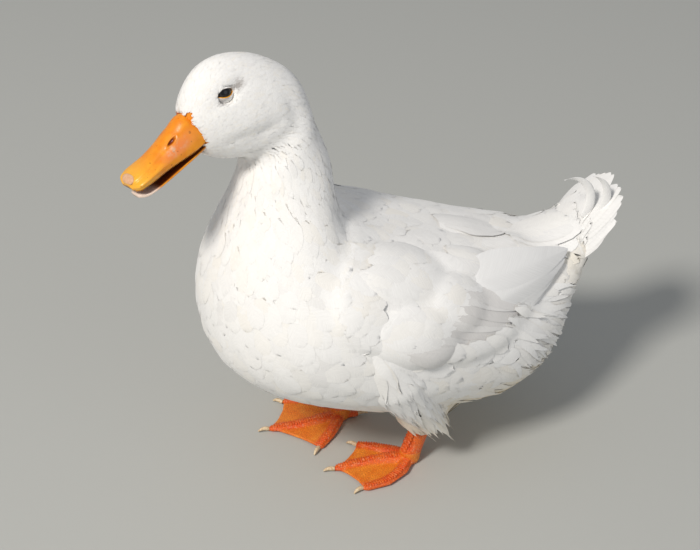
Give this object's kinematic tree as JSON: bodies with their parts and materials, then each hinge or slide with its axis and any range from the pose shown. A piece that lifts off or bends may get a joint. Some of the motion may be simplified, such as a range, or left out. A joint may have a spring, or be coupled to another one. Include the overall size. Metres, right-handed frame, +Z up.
{
  "type": "museum model of a white domestic duck",
  "caption": "Life-size still model of a standing white drake with an orange bill and webbed feet, its head turned a little to its left.",
  "frame": {"origin": "on the floor under the middle of the bird's bounding box, between the two feet", "axes": "+Z up; the bird faces -Y; its left side is +X"},
  "size_m": [0.2284, 0.443, 0.4016],
  "materials": {
    "plumage": "soft white contour feathers",
    "flight_feather": "smooth white flight feathers",
    "bill_horn": "satin orange-yellow horn",
    "nail_horn": "pale pinkish horn",
    "leg_skin": "scaly orange skin",
    "claw_horn": "ivory horn",
    "eyeball": "wet dark eye"
  },
  "bodies": {
    "root": {"head": "plumage", "neck": "plumage", "trunk": "plumage", "rump": "plumage", "wing_left": "plumage", "wing_right": "plumage", "thigh_left": "plumage", "thigh_right": "plumage", "primaries_left": "flight_feather", "primaries_right": "flight_feather", "tail_fan": "flight_feather", "tail_curl_1": "flight_feather", "tail_curl_2": "flight_feather", "eye_left": "eyeball", "eye_right": "eyeball", "bill_upper": "bill_horn", "bill_lower": "bill_horn", "bill_nail": "nail_horn", "shank_left": "leg_skin", "shank_right": "leg_skin", "foot_left": "leg_skin", "foot_right": "leg_skin", "claw_inner_left": "claw_horn", "claw_middle_left": "claw_horn", "claw_outer_left": "claw_horn", "claw_hind_left": "claw_horn", "claw_inner_right": "claw_horn", "claw_middle_right": "claw_horn", "claw_outer_right": "claw_horn", "claw_hind_right": "claw_horn"}
  },
  "joints": []
}
